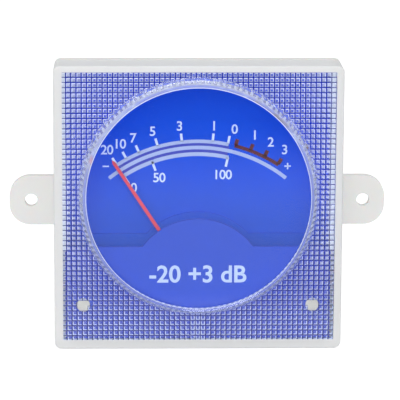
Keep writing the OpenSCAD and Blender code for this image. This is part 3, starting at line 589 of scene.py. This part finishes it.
def makeCover():
    v = coverValues
    front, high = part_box("front_cover")
    half = high.x
    faceY = front.y + v["rimHeight"] * mm
    innerY = faceY + v["wall"] * mm
    backY = high.y - v["flangeGap"] * mm  # clear of the flange that it stands on
    bm = bmesh.new()
    bmesh.ops.create_cube(bm, size=1)
    bmesh.ops.scale(bm, vec=(2 * half, backY - faceY, 2 * half), verts=bm.verts)
    bmesh.ops.translate(bm, vec=(0, (backY + faceY) / 2, 0), verts=bm.verts)
    border = [f for f in bm.faces if f.normal.y < -0.9]
    bmesh.ops.inset_region(bm, faces=border, thickness=(half - v["mattFrom"] * mm), use_even_offset=True)
    for vert in border[0].verts:
        left, foot, top = v["mattShift"]
        vert.co += Vector((left if vert.co.x < 0 else 0, 0, foot if vert.co.z < 0 else top)) * mm
    corners = [e for e in bm.edges if abs(e.verts[0].co.y - e.verts[1].co.y) > mm]
    bmesh.ops.bevel(bm, geom=corners, affect="EDGES", offset=v["cornerRadius"] * mm,
                    segments=v["cornerSegments"], profile=0.5, material=-1)
    cover = newObject("clearCover", bm)
    for key in coverFinishes:
        cover.data.materials.append(finishes[key])

    bm = bmesh.new()
    spread = (v["footRadius"] - v["windowRadius"]) / v["rimHeight"]
    depth = v["rimHeight"] + v["rimRoot"]
    rim = bmesh.ops.create_cone(bm, cap_ends=True, segments=v["rimSegments"],
                                radius1=(v["windowRadius"] + spread * depth) * mm,
                                radius2=v["windowRadius"] * mm, depth=depth * mm)
    bmesh.ops.transform(bm, matrix=upright, verts=rim["verts"])
    bmesh.ops.bisect_plane(bm, geom=bm.verts[:] + bm.edges[:] + bm.faces[:], plane_no=(0, 1, 0),
                           plane_co=(0, (v["mattRim"] - depth / 2) * mm, 0))
    bmesh.ops.translate(bm, vec=(0, front.y + depth / 2 * mm, v["windowZ"] * mm), verts=bm.verts)
    combine(cover, newObject("rim", bm), "UNION")
    softenEdges(cover, v["edgeRadius"], 3, v["edgeAngle"])
    applyModifiers(cover)
    softenEdges(cover, v["rimRadius"], 2, v["rimAngle"])
    applyModifiers(cover)

    # Hollow with the texture's cells pressed into its front
    bm = bmesh.new()
    bmesh.ops.create_grid(bm, x_segments=v["cells"], y_segments=v["cells"], size=half - v["sideWall"] * mm)
    bmesh.ops.transform(bm, matrix=upright, verts=bm.verts)
    bmesh.ops.translate(bm, vec=(0, innerY, 0), verts=bm.verts)
    cells = bm.faces[:]
    walls = bmesh.ops.extrude_edge_only(bm, edges=[e for e in bm.edges if e.is_boundary])["geom"]
    for vert in [g for g in walls if isinstance(g, bmesh.types.BMVert)]:
        vert.co.y = backY + mm
    bmesh.ops.holes_fill(bm, edges=[e for e in bm.edges if e.is_boundary], sides=0)
    bmesh.ops.recalc_face_normals(bm, faces=bm.faces)
    middle = Vector((0, innerY, v["windowZ"] * mm))
    pins = [Vector((x * mm, innerY, z * mm)) for x, z in v["pinPlaces"]]
    cells = [c for c in cells if (c.calc_center_median() - middle).length > v["plainRadius"] * mm
             and min((c.calc_center_median() - pin).length for pin in pins) > v["pinPlain"] * mm]
    grooves = bmesh.ops.inset_individual(bm, faces=cells, thickness=v["groove"] * mm)["faces"]
    slopes = bmesh.ops.inset_individual(bm, faces=cells, thickness=v["slope"] * mm, depth=v["cellDepth"] * mm,
                                        use_even_offset=True)["faces"]
    # The cells' bottoms get their painted light, and the grooves between them painted shade
    for faces, kind in ((cells, "cell"), (grooves, "groove")):
        for face in faces:
            face.material_index = coverFinishes.index(kind)
    # Painted highlights: the slopes that face the border, within reach of its light, get the whiter finishes
    for face in slopes:
        centre = face.calc_center_median()
        ways = {"facingSide": max((face.normal.x, centre.x), (-face.normal.x, -centre.x)),
                "facingTop": (face.normal.z, centre.z), "facingFoot": (-face.normal.z, -centre.z)}
        kind = max(ways, key=ways.get)
        lit = half - ways[kind][1] < v["litTo"] * mm
        if kind == "facingSide" and centre.z < v["footSides"] * mm:
            kind = "facingFoot"
        face.material_index = coverFinishes.index(kind if lit else "facingAway")
    # Painted light: the last cells beside the etched sides get the frosted finish, which whitens them
    for face in cells + slopes:
        centre = face.calc_center_median()
        if abs(centre.x) > v["paleFrom"] * mm and centre.z > v["paleAbove"] * mm:
            face.material_index = coverFinishes.index("frosted")
    hollow = newObject("hollow", bm)
    for key in coverFinishes:
        hollow.data.materials.append(finishes[key])
    combine(cover, hollow, "DIFFERENCE")

    bm = bmesh.new()
    window = bmesh.ops.create_cone(bm, cap_ends=True, segments=2 * v["notches"],
                                   radius1=v["recessRadii"][1] * mm, radius2=v["recessRadii"][0] * mm,
                                   depth=v["recessDepth"] * mm)
    bmesh.ops.transform(bm, matrix=upright, verts=window["verts"])
    recessZ = (v["windowZ"] - v["recessDrop"]) * mm
    recessY = front.y + v["windowThickness"] * mm + v["recessDepth"] / 2 * mm
    bmesh.ops.translate(bm, vec=(0, recessY, recessZ), verts=bm.verts)
    combine(cover, newObject("window", bm), "DIFFERENCE")
    smoothByAngle(cover, v["smoothAngle"])
    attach(cover, "housing")
    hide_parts("front_cover")
    rimTop = front.y + v["mattRim"] * mm
    near = v["near"] * mm
    roundLow, roundHigh = v["roundedNormals"]
    for face in cover.data.polygons:
        outside = max(abs(face.center.x), abs(face.center.z)) > v["mattFrom"] * mm + near
        wall = abs(face.normal.y) < v["wallNormal"]
        reach = Vector((face.center.x, face.center.z - v["windowZ"] * mm)).length / mm
        sloped = v["windowRadius"] < reach < v["footRadius"] and face.center.y < faceY - v["underFace"] * mm
        rounded = abs(reach - v["windowRadius"]) < v["rimNear"] and roundLow < face.normal.y < roundHigh
        inside = innerY < face.center.y and wall and not outside
        recess = Vector((face.center.x, face.center.z - recessZ)).length / mm
        around = (v["recessRadii"][0] - v["near"] < recess < v["recessRadii"][1] + v["near"]
                  and face.center.y < innerY and wall)
        turn = math.atan2(face.center.x, face.center.z - recessZ) / math.tau * v["notches"] * 2
        # Every other notch is painted: painted shade above the middle and a painted highlight below it
        if around and math.floor(turn) % 2:
            face.material_index = coverFinishes.index("groove" if face.center.z > 0 else "facingFoot")
        elif rounded and face.center.y < front.y + v["rimNear"] * mm or inside or around:
            face.material_index = coverFinishes.index("frosted")
        elif sloped and face.normal.y < v["slopeNormal"]:
            face.material_index = coverFinishes.index("rim" if face.center.y > rimTop else "rimFront")
        elif outside and face.center.y < backY - near:
            face.material_index = coverFinishes.index("matt")


makeCover()
print("cover made")


# Milky case, with softened edges
caseValues = {
    "edge": 0.2,
    "smoothAngle": 30,
}
case = copyNode("rear_case", "milkyCase")
softenEdges(case, caseValues["edge"])
applyModifiers(case)
smoothByAngle(case, caseValues["smoothAngle"])
finishPiece(case, finishes["case"], "housing", "milky_case", "rear_case")
print("case made")


# Raised polarity marks beside the tags
markValues = {
    "length": 2.6,
    "width": 0.5,
    "height": 0.4,
    "reach": 14.5,  # mm from the middle, at the tags' height
    "back": 17.0,  # mm, the case's back face
}


def makeMarks():
    v = markValues
    tagZ = sum(corner.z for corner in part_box("terminal_tags")) / 2 / mm
    bars = []
    for side, width, height in ((1, v["length"], v["width"]), (1, v["width"], v["length"]),
                                (-1, v["length"], v["width"])):
        bm = bmesh.new()
        size = Matrix.Diagonal((width * mm, 2 * v["height"] * mm, height * mm, 1))
        place = Matrix.Translation(Vector((side * v["reach"], v["back"], tagZ)) * mm)
        bmesh.ops.create_cube(bm, size=1, matrix=place @ size)
        bars.append(newObject("polarityMarks", bm))
    for bar in bars[1:]:
        combine(bars[0], bar, "UNION")
    finishPiece(bars[0], finishes["case"], "housing", "milky_case")


makeMarks()
print("marks made")


# Pins that hold the mask
pinValues = {
    "radius": 1.4,
    "height": 0.5,
    "edge": 0.08,
    "shankRadius": 0.8,
    "segments": (48, 32),  # of the head and of the shank
    "smoothAngle": 30,
}


def makePins():
    v = pinValues
    low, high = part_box("mask_pins")
    bm = bmesh.new()
    for x, z in coverValues["pinPlaces"]:
        head = bmesh.ops.create_cone(bm, cap_ends=True, segments=v["segments"][0], radius1=v["radius"] * mm,
                                     radius2=v["radius"] * mm, depth=v["height"] * mm)
        shank = bmesh.ops.create_cone(bm, cap_ends=True, segments=v["segments"][1],
                                      radius1=v["shankRadius"] * mm, radius2=v["shankRadius"] * mm,
                                      depth=high.y - low.y - v["height"] * mm)
        bmesh.ops.translate(bm, vec=(0, 0, -(high.y - low.y) / 2), verts=shank["verts"])
        verts = head["verts"] + shank["verts"]
        bmesh.ops.transform(bm, matrix=upright, verts=verts)
        bmesh.ops.translate(bm, vec=(x * mm, low.y + v["height"] / 2 * mm, z * mm), verts=verts)
    pins = newObject("maskPins", bm)
    softenEdges(pins, v["edge"], 3)
    applyModifiers(pins)
    smoothByAngle(pins, v["smoothAngle"])
    finishPiece(pins, finishes["plated"], "housing", "plated_steel", "mask_pins")


makePins()
print("pins made")


# Printing on the dial and the mask
pivotZ = -18.0  # mm, the height of the pointer's pivot
dialValues = {
    "face": -0.8,  # mm, the dial's printed face
    "ink": 0.02,
    # arcs: radius, width, first and last angle from the vertical, ink
    "arcs": [
        (30.88, 0.74, -33.4, 12.1, "paleInk"),
        (29.56, 0.78, -38.9, 38.9, "paleInk"),
        (28.16, 0.82, -33.7, 13.3, "paleInk"),
        (30.9, 0.75, 14.5, 33.3, "redInk"),
    ],
    # ticks: angle, inner and outer radius, width, ink
    "ticks": [(a, 31.0, 32.7, 0.5, "whiteInk") for a in (-33.2, -28.8, -23.35, -15.7, -6.15, 5.8, 11.8)]
    + [(a, 26.15, 28.2, 0.5, "whiteInk") for a in (-33.4, -19.75, 13.05)]
    + [(a, 31.0, 32.4, 0.8, "redInk") for a in (14.9, 20.9, 26.9, 33.0)],
    "gaps": (29.52, 2.0, -33.2, 12.6),  # the darker ground between the arcs
    "numeralHeight": 2.05,
    "bold": 0.014,
    "spacing": 0.93,
    # numerals: text, angle and radius
    "numerals": [
        ("20", -33.1, 34.75), ("10", -27.9, 34.35), ("7", -23.1, 34.35), ("5", -16.0, 34.35), ("3", -6.4, 34.35),
        ("1", 5.7, 34.35), ("0", 13.0, 34.35), ("1", 20.4, 34.35), ("2", 26.5, 34.35), ("3", 32.1, 34.35),
        ("0", -32.5, 24.9), ("50", -19.1, 24.5), ("100", 13.0, 24.4),
    ],
    # signs: angle, radius and the directions of their bars
    "signs": [(-37.0, 32.0, (90,)), (36.5, 31.8, (0, 90))],
    "signSize": (1.35, 0.3),
    "arcSteps": 1.5,  # for each degree
    "capHeight": 0.73,  # of the built-in font's capitals, at a size of 1
    # lettering on the mask
    "range": "-20 +3 dB",
    "rangeZ": -14.35,
    "rangeHeight": 3.7,
    "rangeBold": 0.02,
}


def onArc(angle, radius):
    turn = math.radians(angle)
    return Vector((radius * math.sin(turn) * mm, 0, (pivotZ + radius * math.cos(turn)) * mm))


def addArc(bm, radius, width, start, end, face, ink):
    corners = [(radius - width / 2, 0), (radius + width / 2, 0), (radius + width / 2, -ink),
               (radius - width / 2, -ink)]
    turn = math.radians(start)
    verts = [bm.verts.new((r * math.sin(turn) * mm, (face + y) * mm, (pivotZ + r * math.cos(turn)) * mm))
             for r, y in corners]
    profile = bm.faces.new(verts)
    steps = max(2, round((end - start) * dialValues["arcSteps"]))
    bmesh.ops.spin(bm, geom=[profile] + profile.edges[:] + verts, cent=(0, 0, pivotZ * mm), axis=(0, 1, 0),
                   angle=math.radians(end - start), steps=steps, use_merge=False)


def addTick(bm, angle, inner, outer, width, face, ink):
    size = Matrix.Diagonal((width * mm, ink * mm, (outer - inner) * mm, 1))
    turn = Matrix.Rotation(math.radians(angle), 4, "Y")
    place = Matrix.Translation(onArc(angle, (inner + outer) / 2) + Vector((0, (face - ink / 2) * mm, 0)))
    bmesh.ops.create_cube(bm, size=1, matrix=place @ turn @ size)


def makeText(text, bold, spacing):
    letters = bpy.data.curves.new("letters", "FONT")
    letters.body = text
    letters.size = 1
    letters.align_x = "CENTER"
    letters.extrude = 0.5
    letters.offset = bold
    letters.resolution_u = 6
    letters.space_character = spacing
    holder = bpy.data.objects.new("letters", letters)
    bpy.context.scene.collection.objects.link(holder)
    mesh = bpy.data.meshes.new_from_object(holder.evaluated_get(bpy.context.evaluated_depsgraph_get()))
    bpy.data.objects.remove(holder)
    xs = [p.co.x for p in mesh.vertices]
    ys = [p.co.y for p in mesh.vertices]
    return mesh, (min(xs) + max(xs)) / 2, (min(ys) + max(ys)) / 2


def addSign(bm, angle, radius, directions):
    v = dialValues
    length, width = v["signSize"]
    size = Matrix.Diagonal((width * mm, v["ink"] * mm, length * mm, 1))
    place = Matrix.Translation(onArc(angle, radius) + Vector((0, (v["face"] - v["ink"] / 2) * mm, 0)))
    for direction in directions:
        turn = Matrix.Rotation(math.radians(direction), 4, "Y")
        bmesh.ops.create_cube(bm, size=1, matrix=place @ turn @ size)


def placeText(bm, text, centre, height, face, bold, spacing=1.0):
    ink = dialValues["ink"]
    mesh, midX, midY = makeText(text, bold, spacing)
    scale = height / dialValues["capHeight"] * mm
    move = Matrix.Translation((centre.x, (face - ink / 2) * mm, centre.z))
    size = Matrix.Diagonal((scale, scale, ink * mm, 1))
    mesh.transform(move @ upright @ size @ Matrix.Translation((-midX, -midY, 0)))
    bm.from_mesh(mesh)
    bpy.data.meshes.remove(mesh)


def makePrinting():
    v = dialValues
    for ink in ("whiteInk", "paleInk", "redInk"):
        bm = bmesh.new()
        for arc in v["arcs"]:
            if arc[4] == ink:
                addArc(bm, *arc[:4], v["face"], v["ink"])
        for tick in v["ticks"]:
            if tick[4] == ink:
                addTick(bm, *tick[:4], v["face"], v["ink"])
        bmesh.ops.recalc_face_normals(bm, faces=bm.faces)
        finishPiece(newObject(ink + "Scale", bm), finishes[ink], "housing", "dial_blue")
    bm = bmesh.new()
    addArc(bm, *v["gaps"], v["face"], v["ink"] / 2)
    bmesh.ops.recalc_face_normals(bm, faces=bm.faces)
    finishPiece(newObject("scaleGround", bm), finishes["edgeInk"], "housing", "dial_blue")
    bm = bmesh.new()
    for text, angle, radius in v["numerals"]:
        placeText(bm, text, onArc(angle, radius), v["numeralHeight"], v["face"], v["bold"], v["spacing"])
    for sign in v["signs"]:
        addSign(bm, *sign)
    finishPiece(newObject("numerals", bm), finishes["whiteInk"], "housing", "dial_blue")
    bm = bmesh.new()
    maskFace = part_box("mask_plate")[0].y / mm
    placeText(bm, v["range"], Vector((0, 0, v["rangeZ"] * mm)), v["rangeHeight"], maskFace, v["rangeBold"])
    finishPiece(newObject("maskLettering", bm), finishes["letterInk"], "housing", "mask_blue")


makePrinting()
print("printing done")


# Hairsprings, wound between the zero regulator and the coil
springNames = {"front_hairspring": "frontSpring", "rear_hairspring": "rearSpring"}


def makeSpring(nodeName):
    spring = copyNode(nodeName, springNames[nodeName], dissolve=False)
    spring.data.materials.append(finishes["bronze"])
    # The points lie at their radius along X while the transform is baked, and go back to their places afterwards
    places = [vert.co.copy() for vert in spring.data.vertices]
    radii = [math.hypot(co.x, co.z - pivotZ * mm) for co in places]
    for vert, radius in zip(spring.data.vertices, radii):
        vert.co = (radius, 0, 0)
    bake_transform(spring)
    for vert, co in zip(spring.data.vertices, places):
        vert.co = co
    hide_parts(nodeName)


for nodeName in springNames:
    makeSpring(nodeName)
print("springs made")
